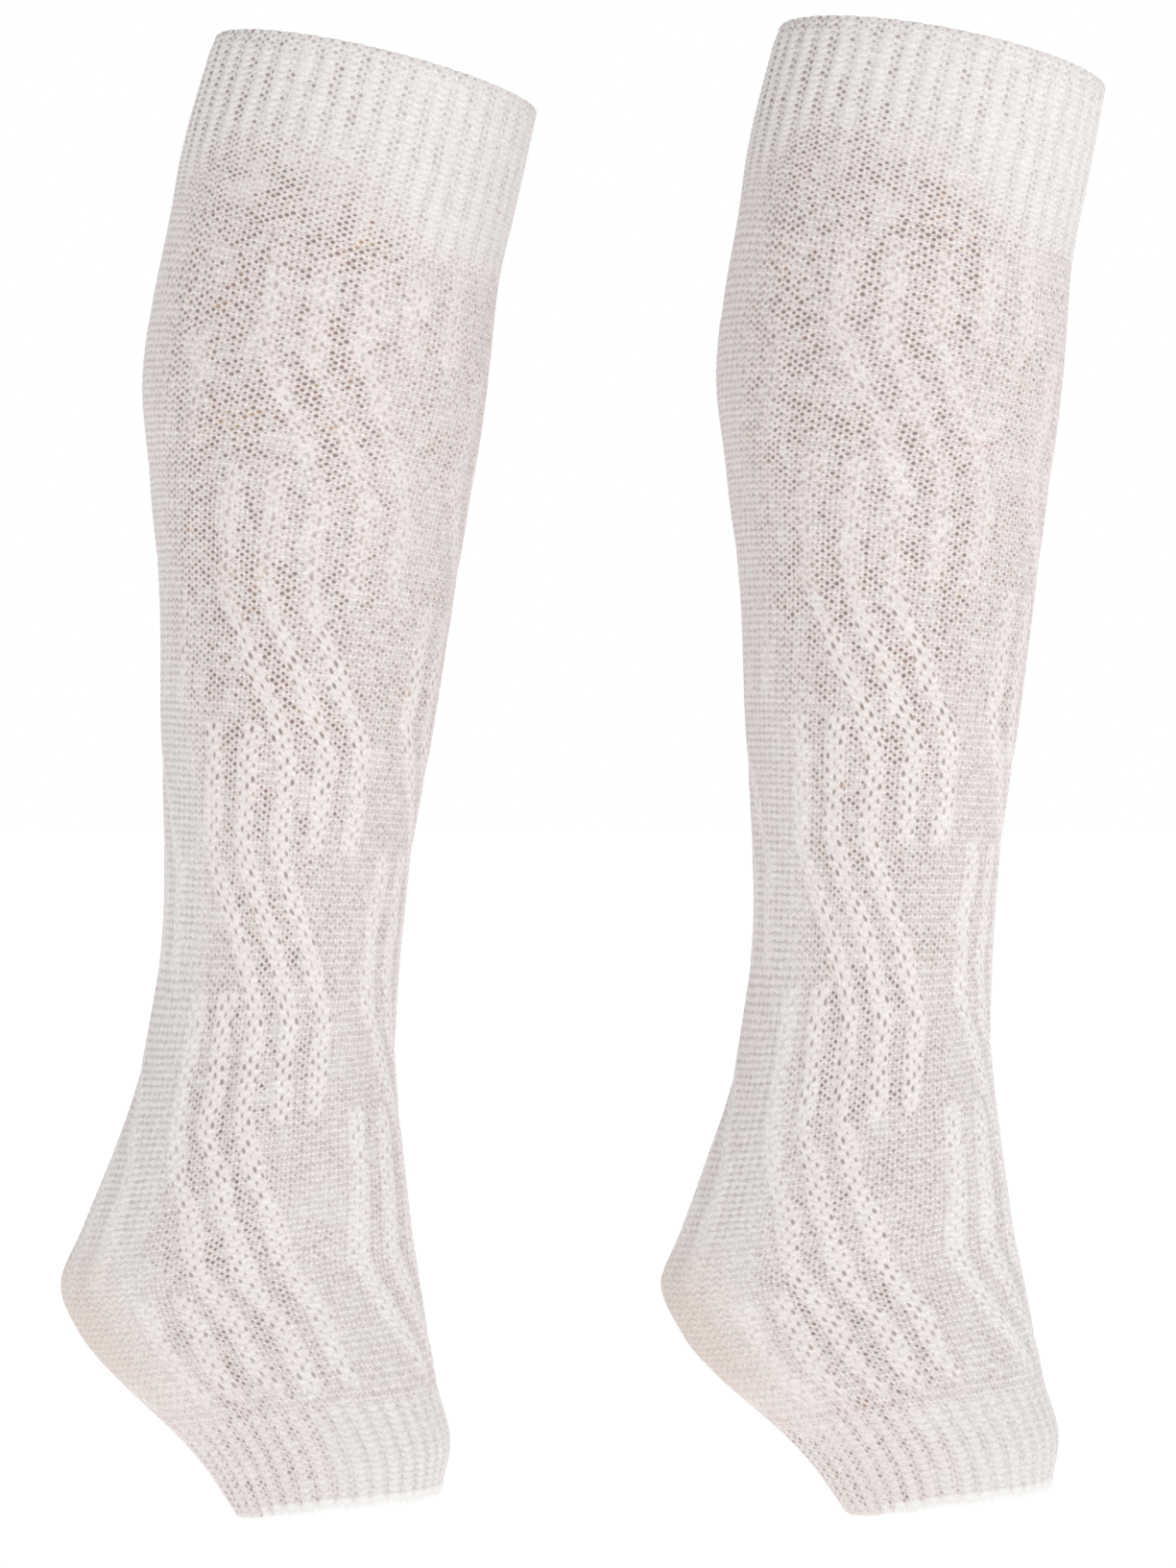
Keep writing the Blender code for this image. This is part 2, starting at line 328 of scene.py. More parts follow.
creases = (  # (wale, course) points of each soft trough, its half width and its depth in mm
    (((15.3, 129), (16.0, 133), (17.2, 139), (16.9, 147), (17.8, 153)), 2.6, 1.5),
    (((12.0, 141), (12.8, 148), (14.5, 155)), 3.0, 0.7),
    (((21.5, 146), (23.0, 153), (26.0, 158)), 3.5, 0.6),
    (((4.0, 124), (5.0, 132), (8.0, 138)), 4.0, 0.8),
    (((30.0, 130), (33.0, 135), (38.0, 138)), 4.0, 0.7),
    (((33.0, 143), (36.0, 147), (41.0, 149)), 4.5, 0.8),
    (((9.0, 93.6), (13.0, 93.4), (18.0, 93.8)), 1.6, 0.5),
    (((11.5, 57.0), (14.0, 56.8), (17.0, 57.2)), 1.6, 0.4),
    (((8.0, 162.5), (10.5, 163), (13.0, 163.5)), 1.8, 0.5),
    (((2.0, 60), (5.0, 66), (6.0, 78)), 5.0, 0.7),
    (((3.0, 100), (4.5, 110), (4.0, 118)), 4.0, 0.6),
    # the far side's own, much like the near side's
    (((67.0, 131), (66.2, 138), (67.6, 146), (66.8, 152)), 2.8, 1.3),
    (((71.5, 139), (70.6, 147), (69.0, 154)), 3.2, 0.7),
    (((61.0, 147), (59.5, 152), (57.0, 157)), 3.4, 0.6),
    (((54.0, 131), (51.0, 136), (46.0, 139)), 4.2, 0.7),
    (((50.5, 144), (47.0, 148), (43.0, 150)), 4.5, 0.7),
    (((79.0, 123), (78.0, 130), (75.5, 137)), 4.0, 0.7),
    (((81.0, 62), (79.0, 70), (78.5, 80)), 5.0, 0.6),
    (((80.0, 102), (79.5, 111), (80.5, 120)), 4.0, 0.6),
    (((74.5, 160), (72.0, 162.5), (69.5, 163.5)), 2.2, 0.5),
)
creaseReach = 12  # courses past its ends in which a trough still shows
waleSize, courseSize = 4.0, 2.45  # mm, for distances across the cloth


def creaseDepth(wales, course):
    depth = np.zeros(len(wales))
    halfRound = form["wales"] / 2
    for points, halfWidth, deep in creases:
        courses = [point[1] for point in points]
        if course < min(courses) - creaseReach or course > max(courses) + creaseReach:
            continue
        spans = len(points) - 1
        nearest = np.full(len(wales), 1e9)
        along = np.zeros(len(wales))
        for k in range(spans):
            (w0, c0), (w1, c1) = points[k], points[k + 1]
            x = ((wales - w0 + halfRound) % form["wales"] - halfRound) * waleSize
            y = (course - c0) * courseSize
            dx, dy = (w1 - w0) * waleSize, (c1 - c0) * courseSize
            t = np.clip((x * dx + y * dy) / (dx * dx + dy * dy), 0, 1)
            far = np.hypot(x - t * dx, y - t * dy)
            closer = far < nearest
            nearest = np.where(closer, far, nearest)
            along = np.where(closer, (k + t) / spans, along)
        taper = 0.35 + 0.65 * np.sin(np.pi * np.clip(along, 0.02, 0.98))
        depth += deep * mm * taper * np.exp(-((nearest / halfWidth) ** 2))
    return depth


stitch = {
    "columnsPerWale": 4,
    "hollow": 0.42 * mm,
    "bump": 0.14 * mm,
    "uneven": 0.45,
    "innerStep": 6.0,  # courses from row to row of the inner wall
    "rimSteps": 3,
    "mergeWithin": 0.000002,  # metres
    "smoothAngle": 60.0,
}

# what each point of the cloth tells its yarn, with the values for the plain inner wall; the gap and line
# masks carry painted shade
yarnMasks = {"rib": 0.0, "ribOffset": 3.0, "gapDark": 0.3, "gapWarm": 0.2, "sole": 0.0, "lineShade": 0.1}

castOff = {
    "courses": 1.5,  # depth of the band at the foot rim
    "fade": 0.9,
    "swell": 0.45 * mm,
    "scallop": 0.7 * mm,
}


def calfShare(bodyWales):
    # 1 at the calf side and the sole, 0 at the shin side
    return 0.5 + 0.5 * np.cos(2 * math.pi * bodyWales / form["wales"])


def cuffDepth(bodyWales):
    return cuffRib["shallow"] + (cuffRib["deep"] - cuffRib["shallow"]) * calfShare(bodyWales)


def flankOf(bodyWales):
    # stitches from the middle of the calf, where it is 0, round to the shin, where it is 42
    return form["wales"] / 2 - np.abs(form["wales"] / 2 - bodyWales % form["wales"])


def cuffFade(bodyWales, course):
    # how far the top cuff's ribs still stand: they end first on the flank and last at the shin
    flank = flankOf(bodyWales)
    start = 7 + 11 * (1 - smooth((flank - 4) / 10)) + 14 * smooth((flank - 22) / 10)
    return (1 - smooth((course - start) / 13)) * (0.4 + 0.6 * smooth(course / 2.5))


def gapShare(bodyWales, course):
    # how dark the gaps between stitches are painted, as the shade seen through the holes, and how warm they
    # look: most on the flank of the calf
    flank = flankOf(bodyWales)
    side = smooth((flank - 4 - 4 * smooth((course - 75) / 30)) / 8)
    dark = side * (1 - 0.42 * smooth((flank - 23) / 9)) + 0.1
    dark = dark * (1 - 0.32 * smooth((course - 84) / 28)) * (1 - 0.12 * smooth((course - 166) / 8))
    soleWarm = 0.5 * smooth((course - 165) / 9) * (1 - smooth((flank - 14) / 10))
    warm = dark * (1 - 0.35 * smooth((course - 112) / 30)) + soleWarm
    warm = warm + 0.3 * (1 - smooth((flank - 4) / 8)) * smooth((course - 12) / 10)
    # the cuffs' own, which run into the leg's over a few courses
    cuffDark, cuffWarm = 0.76 - 0.34 * smooth((flank - 10) / 20), 0.3
    share = 1 - smooth((course - 10 - 9 * smooth((flank - 20) / 12)) / 15)
    dark = dark + (cuffDark - dark) * share
    warm = warm + (cuffWarm * cuffDark - warm) * share
    footDark = 0.72 - 0.48 * smooth((flank - 14) / 12)
    share = smooth((course - 178) / 6)
    return dark + (footDark - dark) * share, warm + (footDark - warm) * share


def lineShadeShare(bodyWales, course):
    # how much painted shade the purl rows get, as fine strokes and evenly over the ground: most at the calf
    # side, seen at a slant and turned from the light
    flank = flankOf(bodyWales)
    edge = 0.6 * (1 - smooth((flank - 8) / 8)) * (1 - smooth((course - 158) / 6))
    return 0.1 + edge + 0.12 * smooth((flank - 20) / 8) * smooth((course - 70) / 25)


def soleShare(bodyWales, course):
    # 1 under the heel and the sole, where the cloth looks warm and beige
    flank = flankOf(bodyWales)
    return smooth((course - 158) / 9) * (1 - smooth((flank - 5) / 7)) * (1 - 0.8 * smooth((course - 173) / 7))


def ribsAt(side, course, bodyWales):
    # the cuffs' ribs: shape, signed distance from a rib's middle and how far they stand
    if course < form["legSplit"]:
        phase, fade = cuffRib["phase"][side], cuffFade(bodyWales, course)
    else:
        turn = 2 * math.pi * (bodyWales / form["wales"] - 0.25)
        phase = cuffRib["footPhase"][side] + cuffRib["footFan"] * np.sin(turn)
        fade = np.full(len(bodyWales), float(smooth((course - 172) / 8)))
    off = (bodyWales - phase + 1) % cuffRib["pitch"] - 1
    return (0.5 + 0.5 * np.cos(math.pi * off)) ** (1.15 - 0.4 * calfShare(bodyWales)), off, fade


def latticeShift(side, kind):
    # sets two staggered columns of gaps into each valley of the top cuff
    if kind != "topCuff":
        return 0.0
    return cuffRib["phase"][side] - form["places"][side]["turn"] + 0.25


def clothAt(side, kind, course, row, stitchWales, chances):
    # outward height and the masks for the yarn at each column of one row of points
    twist = sectionAt(course)[-1]
    bodyWales = stitchWales + twist + form["places"][side]["turn"]
    dark, warm = gapShare(bodyWales, course)
    sole, lineShade = soleShare(bodyWales, course), lineShadeShare(bodyWales, course)
    lattice = -np.cos(2 * math.pi * (stitchWales - latticeShift(side, kind))) * np.cos(2 * math.pi * row)
    hollow = -stitch["hollow"] * np.clip(lattice, 0, 1) + stitch["bump"] * np.clip(-lattice, 0, 1)
    hollow = hollow * (1 + stitch["uneven"] * (chances - 0.5))
    hollow = hollow * (0.25 + 0.75 * smooth((flankOf(bodyWales) - 7) / 8))
    ribShape, ribOff, fade = ribsAt(side, course, bodyWales)
    height = cuffDepth(bodyWales) * fade * ribShape
    # each rib is a column of stitches, each like a V
    height += cuffRib["stitchRelief"] * fade * ribShape * np.cos(2 * math.pi * (row + 0.32 * np.abs(ribOff)))
    hollow = hollow * (1 - 0.7 * ribShape * fade)
    if kind == "leg":
        strength, off, valley = ropesAt(course, stitchWales)
        started = smooth((course - form["topSeam"]) / 4)
        ended = smooth((course - form["footSeam"] + 4) / 4)
        strength = strength * float(started * (1 - ended))
        dots = np.cos(2 * math.pi * off / rope["dotsAcross"]) * np.cos(2 * math.pi * row / rope["dotsAlong"])
        high = 0.55 + 0.45 * float(smooth((course - 55) / 40)) + 0.45 * float(smooth((course - 120) / 35))
        height = height * (1 - strength) + rope["height"] * strength * high
        height -= rope["dotDepth"] * np.clip(-dots, 0, 1) * smooth((strength - 0.35) / 0.3)
        height += hollow * (1 - smooth(strength / 0.5))
        # painted shade: the gaps in the valleys between ropes are darker
        dark = np.clip(dark * (1 + valley * (0.1 + 0.15 * float(smooth((course - 70) / 20)))), 0, 1.3)
        strength = strength * (0.5 + 0.5 * float(smooth((course - 72) / 30)))  # fainter high on the calf
    else:
        height += hollow
        # painted shade: the gaps and the purl rows in the ribs' valleys are darker, most at the calf side
        valley = (1 - ribShape) * fade * calfShare(bodyWales)
        dark, lineShade = dark * (1 + 0.3 * valley), lineShade + 0.1 * valley
        strength, off = ribShape * fade, ribOff
    return height - creaseDepth(bodyWales, course), (strength, off, dark, warm, sole, lineShade), bodyWales


def clothShell(name, side, kind, first, last, openTop, openFoot):
    spot = form["places"][side]
    rng = np.random.default_rng(spot["seed"] * 100 + int(first))
    columns = form["wales"] * stitch["columnsPerWale"]
    stitchWales = np.arange(columns + 1) / stitch["columnsPerWale"]
    # rows of points at each half stitch, and the courses they lie on
    firstRow, lastRow = np.interp([first, last], fineCourses, rowCount)
    inside = np.arange(math.floor(firstRow * 2) + 1, math.ceil(lastRow * 2)) / 2
    inside = inside[(inside > firstRow + 0.2) & (inside < lastRow - 0.2)]
    rows = np.concatenate([[firstRow], inside, [lastRow]])
    courses = np.interp(rows, rowCount, fineCourses)
    table = rng.random((int(rows[-1] * 2) + 4, form["wales"] * 2))
    drawAt = np.round(stitchWales * 2).astype(int) % (form["wales"] * 2)
    acrossUv = stitchWales - latticeShift(side, kind)
    outer, masks, stitches = [], [], []
    for row, course in zip(rows, courses):
        chances = table[int(round(row * 2)) % len(table)][drawAt]
        height, mask, bodyWales = clothAt(side, kind, course, row, stitchWales, chances)
        points, outward, down = ringAt(course, bodyWales)
        if kind == "footCuff":
            band = float(smooth((course - form["footRim"] + castOff["courses"]) / castOff["fade"]))
            band = band * (0.12 + 0.88 * smooth((flankOf(bodyWales) - 10) / 6))  # faint under the sole
            height = height * (1 - 0.85 * band) + castOff["swell"] * band
            waves = np.sin(2 * math.pi * stitchWales) + 0.6 * np.sin(math.pi * stitchWales * 1.5 + 0.7)
            waves = 0.5 * waves + 0.4 + 0.5 * np.sin(math.pi * stitchWales / 3.5)
            reach = castOff["scallop"] * waves * band
            points = points + np.outer(reach, down)
            mask = (mask[0] + 1.5 * band,) + mask[1:]
        outer.append(points + outward * (height - form["groundInset"])[:, None])
        masks.append(mask)
        stitches.append(np.stack([acrossUv, np.full(columns + 1, row)], axis=1))
    innerCourses = np.linspace(last, first, max(2, int(round((last - first) / stitch["innerStep"])) + 1))
    inner = []
    for course in innerCourses:
        twist = sectionAt(course)[-1]
        points, outward = ringAt(course, stitchWales + twist + spot["turn"])[:2]
        inner.append(points + outward * (-form["wall"] - form["groundInset"]))
    rings, marks, uvs = list(outer), list(masks), list(stitches)

    def turnOver(fromRing, toRing, awayFrom, mark, uv):
        # rounds a rim from one face of the wall to the other
        middle, half = (fromRing + toRing) / 2, (fromRing - toRing) / 2
        reach = np.linalg.norm(half, axis=1)[:, None] * awayFrom
        for k in range(1, stitch["rimSteps"] + 1):
            a = math.pi * k / (stitch["rimSteps"] + 1)
            rings.append(middle + half * math.cos(a) + reach * math.sin(a))
            marks.append(mark)
            uvs.append(uv)

    if openFoot:
        turnOver(outer[-1], inner[0], ringAt(last, stitchWales)[2], masks[-1], stitches[-1])
    for course, ring in zip(innerCourses, inner):
        rings.append(ring)
        marks.append(tuple(np.full(columns + 1, value) for value in yarnMasks.values()))
        row = float(np.interp(course, fineCourses, rowCount))
        uvs.append(np.stack([acrossUv, np.full(columns + 1, row)], axis=1))
    if openTop:
        turnOver(inner[-1], outer[0], -ringAt(first, stitchWales)[2], masks[0], stitches[0])
    rings.append(outer[0])  # closes the strip on itself
    marks.append(masks[0])
    uvs.append(stitches[0])

    bpy.ops.mesh.primitive_grid_add(x_subdivisions=columns, y_subdivisions=len(rings) - 1, size=1.0)
    cloth = bpy.context.object
    cloth.name = cloth.data.name = name
    mesh = cloth.data
    points = np.array(rings).reshape(-1, 3)
    place = np.array(placeOf(side))
    points = points @ place[:3, :3].T + place[:3, 3]
    mesh.vertices.foreach_set("co", points.astype(np.float32).ravel())
    corners = np.zeros(len(mesh.loops), np.int32)
    mesh.loops.foreach_get("vertex_index", corners)
    flatUv = np.array(uvs).reshape(-1, 2)[corners]
    mesh.uv_layers[0].name = "stitch"
    mesh.uv_layers["stitch"].data.foreach_set("uv", flatUv.astype(np.float32).ravel())
    for k, maskName in enumerate(yarnMasks):
        attribute = mesh.attributes.new(maskName, "FLOAT", "POINT")
        attribute.data.foreach_set("value", np.array([m[k] for m in marks], np.float32).ravel())
    bpy.ops.object.mode_set(mode="EDIT")
    bpy.ops.mesh.select_all(action="SELECT")
    bpy.ops.mesh.remove_doubles(threshold=stitch["mergeWithin"])
    bpy.ops.mesh.normals_make_consistent(inside=False)
    bpy.ops.object.mode_set(mode="OBJECT")
    bpy.ops.object.shade_smooth_by_angle(angle=math.radians(stitch["smoothAngle"]))
    cloth.select_set(False)
    print(name, len(rings), "rows,", sum(len(p.vertices) - 2 for p in mesh.polygons), "triangles")
    return cloth


def flatSize(side, first, last):
    # the sheet as worn: the mean way round its ground, and the length along the middle of the leg
    size = form["places"][side]["size"]
    rounds, length, before = [], 0.0, None
    for course in np.linspace(first, last, form["flatSteps"]):
        points = ringAt(course, np.arange(form["wales"]))[0]
        closed = np.vstack([points, points[:1]])
        rounds.append(np.linalg.norm(np.diff(closed, axis=0), axis=1).sum())
        middle = points.mean(axis=0)
        if before is not None:
            length += np.linalg.norm(middle - before)
        before = middle
    return float(np.mean(rounds) * size), float(length * size)


def newGroup(name, ins, outs):
    # every socket is a number, apart from Place, which is a vector
    group = bpy.data.node_groups.new(name, "ShaderNodeTree")
    for label in ins:
        kind = "NodeSocketVector" if label == "Place" else "NodeSocketFloat"
        group.interface.new_socket(label, in_out="INPUT", socket_type=kind)
    for label in outs:
        group.interface.new_socket(label, in_out="OUTPUT", socket_type="NodeSocketFloat")
    return group, group.nodes.new("NodeGroupInput"), group.nodes.new("NodeGroupOutput")


def feed(tree, socket, value):
    if isinstance(value, bpy.types.NodeSocket):
        tree.links.new(value, socket)
    else:
        socket.default_value = value


def placeGroup(tree, group, **values):
    node = tree.nodes.new("ShaderNodeGroup")
    node.node_tree = group
    for label, value in values.items():
        feed(tree, node.inputs[label], value)
    return node.outputs


def maths(tree, operation, *inputs, clamp=False):
    node = tree.nodes.new("ShaderNodeMath")
    node.operation = operation
    node.use_clamp = clamp
    for k, value in enumerate(inputs):
        feed(tree, node.inputs[k], value)
    return node.outputs[0]


def times(tree, first, second, clamp=False):
    return maths(tree, "MULTIPLY", first, second, clamp=clamp)


def ramp(tree, value, low, high, toLow=0.0, toHigh=1.0, kind="SMOOTHSTEP"):
    node = tree.nodes.new("ShaderNodeMapRange")
    node.interpolation_type = kind
    for k, item in enumerate((value, low, high, toLow, toHigh)):
        feed(tree, node.inputs[k], item)
    return node.outputs[0]


def cosine(tree, value):
    # one wave to each whole step of the value
    return maths(tree, "COSINE", times(tree, value, 2 * math.pi))


def stripes(tree, value, power, swing=0.5):
    # a soft line at each whole step of the value, or at each half step with a negative swing
    return maths(tree, "POWER", maths(tree, "MULTIPLY_ADD", cosine(tree, value), swing, 0.5), power)


def mixColour(tree, share, first, second):
    node = tree.nodes.new("ShaderNodeMix")
    node.data_type = "RGBA"
    node.clamp_factor = True
    feed(tree, node.inputs[0], share)
    feed(tree, node.inputs[6], first)
    feed(tree, node.inputs[7], second)
    return node.outputs[2]


def noise(tree, place, scale, detail=2.0, roughness=0.5):
    node = tree.nodes.new("ShaderNodeTexNoise")
    feed(tree, node.inputs["Vector"], place)
    node.inputs["Scale"].default_value = scale
    node.inputs["Detail"].default_value = detail
    node.inputs["Roughness"].default_value = roughness
    return node.outputs[0]


gapLooks = {
    # half width and half height, in steps of the pattern, and how dark the least and the most are painted, as
    # shade in the holes
    "ground": {"wide": 0.18, "tall": 0.235, "power": (0.58, 1.18)},
    "rope": {"wide": 0.12, "tall": 0.2, "power": (0.55, 1.05)},
    "uneven": 0.6,
    "nudge": 0.14,
    "edge": (1.3, 0.45),  # where a gap ends and where it is full, in its half sizes
    "underLint": 0.65,  # the share that lint hides
}


def makeGapsGroup():
    # small gaps between loops, staggered like bricks, two to each step across and along; they are painted
    # dark, as the shade seen through the holes
    ins = ("Across", "Along", "Wide", "Tall", "Uneven", "Seed")
    group, entry, out = newGroup("stitchGaps", ins, ("Gap", "Chance", "Hue"))
    across, along = entry.outputs["Across"], entry.outputs["Along"]
    a = maths(group, "ADD", maths(group, "ADD", across, along), 0.5)
    b = maths(group, "ADD", maths(group, "SUBTRACT", across, along), 0.5)
    cellA, cellB = maths(group, "ROUND", a), maths(group, "ROUND", b)
    offA, offB = maths(group, "SUBTRACT", a, cellA), maths(group, "SUBTRACT", b, cellB)
    cell = group.nodes.new("ShaderNodeCombineXYZ")
    feed(group, cell.inputs[0], cellA)
    feed(group, cell.inputs[1], cellB)
    feed(group, cell.inputs[2], entry.outputs["Seed"])
    dice = group.nodes.new("ShaderNodeTexWhiteNoise")
    dice.noise_dimensions = "3D"
    feed(group, dice.inputs["Vector"], cell.outputs[0])
    split = group.nodes.new("ShaderNodeSeparateColor")
    feed(group, split.inputs[0], dice.outputs["Color"])
    chance, hue, shift = split.outputs[0], split.outputs[1], split.outputs[2]
    half = times(group, maths(group, "ADD", offA, offB), 0.5)
    rest = times(group, maths(group, "SUBTRACT", offA, offB), 0.5)
    nudge = times(group, maths(group, "SUBTRACT", shift, 0.5), gapLooks["nudge"])
    grow = maths(group, "MULTIPLY_ADD", maths(group, "SUBTRACT", chance, 0.5), entry.outputs["Uneven"], 1.0)
    wide, tall = times(group, entry.outputs["Wide"], grow), times(group, entry.outputs["Tall"], grow)
    x = maths(group, "DIVIDE", maths(group, "ADD", half, nudge), wide)
    y = maths(group, "DIVIDE", rest, tall)
    far = maths(group, "SQRT", maths(group, "ADD", times(group, x, x), times(group, y, y)))
    feed(group, out.inputs["Gap"], ramp(group, far, *gapLooks["edge"]))
    feed(group, out.inputs["Chance"], chance)
    feed(group, out.inputs["Hue"], hue)
    return group


yarnScales = {  # of each noise over the object, and of the fibres in stitches
    "patches": 46.0,
    "lint": 105.0,
    "waver": 190.0,
    "fray": 330.0,
    "breaks": 420.0,
    "grain": 760.0,
    "fuzz": 1400.0,
    "fibresAcross": 4.2,
    "fibresAlong": 2.6,
    "fibresShift": 3.7,  # from piece to piece
}


def makeFibresGroup():
    # uneven patches, lint, loose fibres, grain and fuzz
    ins, outs = ("Wale", "Row", "Place", "Seed"), ("Patches", "Lint", "Fibre", "Grain", "Fuzz")
    group, entry, out = newGroup("yarnFibres", ins, outs)
    wale, row, place, seed = (entry.outputs[label] for label in ins)
    lint = ramp(group, noise(group, place, yarnScales["lint"], 3.0, 0.65), 0.54, 0.64)
    # the fibres are drawn out along the strands
    strands = group.nodes.new("ShaderNodeCombineXYZ")
    feed(group, strands.inputs[0], times(group, wale, yarnScales["fibresAcross"]))
    feed(group, strands.inputs[1], times(group, row, yarnScales["fibresAlong"]))
    feed(group, strands.inputs[2], seed)
    feed(group, out.inputs["Patches"], noise(group, place, yarnScales["patches"], 3.0, 0.6))
    feed(group, out.inputs["Lint"], lint)
    feed(group, out.inputs["Fibre"], noise(group, strands.outputs[0], 1.0, 3.0, 0.7))
    feed(group, out.inputs["Grain"], noise(group, place, yarnScales["grain"], 2.0, 0.7))
    feed(group, out.inputs["Fuzz"], noise(group, place, yarnScales["fuzz"], 3.0, 0.6))
    return group


# painted shade along the purl rows, in zigzags and down each V of a rib; least is the share laid evenly on
# the ground where the line mask is high
lineLooks = {
    "strength": 0.6,
    "least": 0.06,
    "wave": 0.18,  # stitch rows by which the stitches wave a line
    "waver": 0.6,  # and by which it wavers at random
    "lineDown": 0.48,
    "zigzagWave": 0.25,
    "zigzagDown": 0.25,
    "veeLean": 0.42,
}


def makeLinesGroup():
    # painted shade in thin dark strokes between the strands, where they dip
    ins = ("Wale", "Row", "Place", "Rib", "Offset", "Lines", "Shade")
    group, entry, out = newGroup("yarnLines", ins, ("Line", "Zigzag", "Vee"))
    wale, row, place, rib, off, lineShade, shade = (entry.outputs[label] for label in ins)
    # along the purl rows, waved by the stitches
    wave = times(group, cosine(group, wale), cosine(group, row))
    along = maths(group, "MULTIPLY_ADD", wave, -lineLooks["wave"], row)
    along = maths(group, "SUBTRACT", along, lineLooks["lineDown"])
    waver = noise(group, place, yarnScales["waver"], 2.0, 0.6)
    along = maths(group, "MULTIPLY_ADD", waver, lineLooks["waver"], along)
    broken = ramp(group, noise(group, place, yarnScales["breaks"], 2.0, 0.6), 0.3, 0.62, 0.35, 1.0)
    line = times(group, stripes(group, along, 2.6), broken)
    line = maths(group, "MULTIPLY_ADD", line, lineLooks["strength"], lineLooks["least"])
    line = times(group, times(group, line, lineShade), maths(group, "SUBTRACT", 1.0, shade, clamp=True))
    # in thin zigzags that link the gaps of each course
    bend = maths(group, "MULTIPLY_ADD", cosine(group, wale), lineLooks["zigzagWave"], row)
    bend = maths(group, "SUBTRACT", bend, lineLooks["zigzagDown"])
    zigzag = times(group, stripes(group, bend, 3.4), broken)
    zigzag = times(group, zigzag, ramp(group, lineShade, 0.22, 0.5, 1.0, 0.15))
    zigzag = times(group, zigzag, maths(group, "SUBTRACT", 1.0, ramp(group, rib, 0.2, 0.6)))
    # down each V of a rib
    vee = maths(group, "MULTIPLY_ADD", maths(group, "ABSOLUTE", off), lineLooks["veeLean"], row)
    vee = times(group, stripes(group, vee, 3.0, -0.5), ramp(group, rib, 0.3, 0.8))
    feed(group, out.inputs["Line"], line)
    feed(group, out.inputs["Zigzag"], zigzag)
    feed(group, out.inputs["Vee"], vee)
    return group


gapsGroup, fibresGroup, linesGroup = makeGapsGroup(), makeFibresGroup(), makeLinesGroup()

yarnLooks = {
    "pale": (0.85, 0.82, 0.805, 1.0),
    "pink": (0.86, 0.785, 0.77, 1.0),  # where the gaps are widest
    # the ribs' own paler yarn, which also stands for a painted highlight on them
    "rib": (0.87, 0.85, 0.83, 1.0),
    "sole": (0.79, 0.71, 0.65, 1.0),
    "band": (0.85, 0.84, 0.825, 1.0),
    "lint": (0.88, 0.865, 0.845, 1.0),
    # painted shade, seen in the gaps and the fine strokes between strands: cool, warm and brown in places
    "gapCool": (0.3, 0.24, 0.235, 1.0),
    "gapWarm": (0.335, 0.23, 0.215, 1.0),
    "gapBrown": (0.47, 0.335, 0.225, 1.0),
    "roughness": 0.92,
    "shine": 0.25,
    "sheen": 0.2,
    "sheenRoughness": 0.5,
    "bump": 0.35 * mm,
    "bumpStrength": 0.6,
    # how far each shows in the colour; zigzag, cuffZigzag and vee are painted shade between the strands
    "shares": {"lint": 0.6, "zigzag": 0.34, "cuffZigzag": 0.16, "vee": 0.14, "fibre": 0.18, "grain": 0.15},
    # how deep or high each is against a gap
    "relief": {"fuzz": 0.3, "fibre": 0.8, "line": 1.6, "vee": 0.5, "zigzag": 0.6},
}


def placeGaps(tree, across, along, kind, seed):
    looks = gapLooks[kind]
    gaps = placeGroup(
        tree,
        gapsGroup,
        Across=across,
        Along=along,
        Wide=looks["wide"],
        Tall=looks["tall"],
        Uneven=gapLooks["uneven"],
        Seed=seed,
    )
    return gaps["Gap"], ramp(tree, gaps["Chance"], 0.0, 1.0, *looks["power"], "LINEAR"), gaps["Hue"]


def pointMask(tree, name):
    node = tree.nodes.new("ShaderNodeAttribute")
    node.attribute_name = name
    return node.outputs["Fac"]


